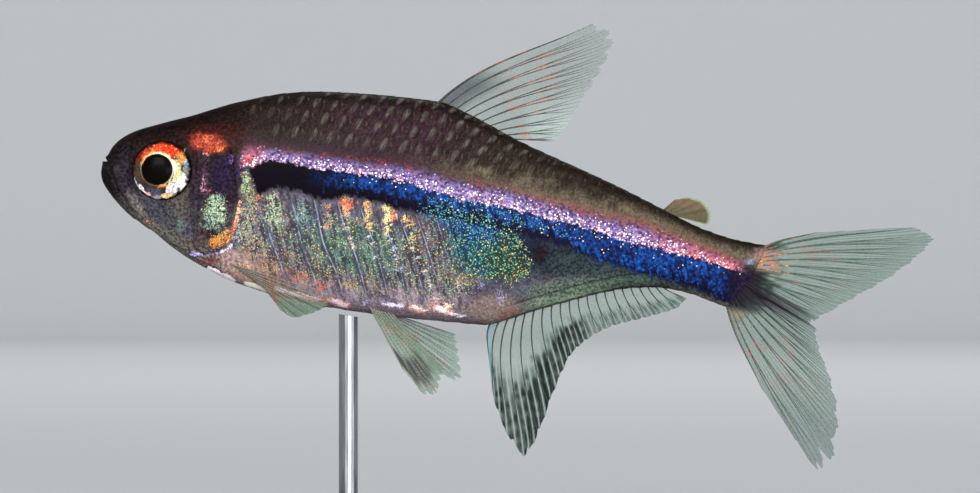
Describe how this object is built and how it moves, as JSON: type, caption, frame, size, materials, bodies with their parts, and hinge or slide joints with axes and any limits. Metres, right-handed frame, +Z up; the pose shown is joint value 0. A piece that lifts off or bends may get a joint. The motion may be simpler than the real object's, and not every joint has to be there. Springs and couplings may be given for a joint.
{
  "type": "hyphessobrycon agulha tetra model",
  "caption": "Still life-size model of a small deep-bodied tetra with spread ray fins and a forked tail, head tilted up, on a rod over a flat stand base.",
  "frame": {"origin": "middle of the whole model's outline at the underside of the stand base, where it meets the table", "axes": "+X from the head towards the tail, +Y towards the fish's right side, +Z up; the pictured left side faces -Y"},
  "size_m": [0.0521, 0.018, 0.033],
  "materials": {
    "body_skin": "dark brown back, blue-black band, silvery speckled flank, glossy",
    "gill_cover_skin": "silvery green and violet sheen over dark skin, glossy",
    "fin_membrane": "clear greenish membrane with thin dark rays",
    "eye_gloss": "orange and gold iris round a black pupil, polished",
    "stand_black": "satin black",
    "stand_steel": "fine brushed"
  },
  "bodies": {
    "root": {"head": "body_skin", "trunk": "body_skin", "tail_stem": "body_skin", "gill_cover_left": "gill_cover_skin", "gill_cover_right": "gill_cover_skin", "eye_left": "eye_gloss", "eye_right": "eye_gloss", "dorsal_fin": "fin_membrane", "adipose_fin": "fin_membrane", "anal_fin": "fin_membrane", "tail_fin_upper": "fin_membrane", "tail_fin_lower": "fin_membrane", "pectoral_fin_left": "fin_membrane", "pectoral_fin_right": "fin_membrane", "pelvic_fin_left": "fin_membrane", "pelvic_fin_right": "fin_membrane", "stand_base": "stand_black", "stand_rod": "stand_steel"}
  },
  "joints": []
}
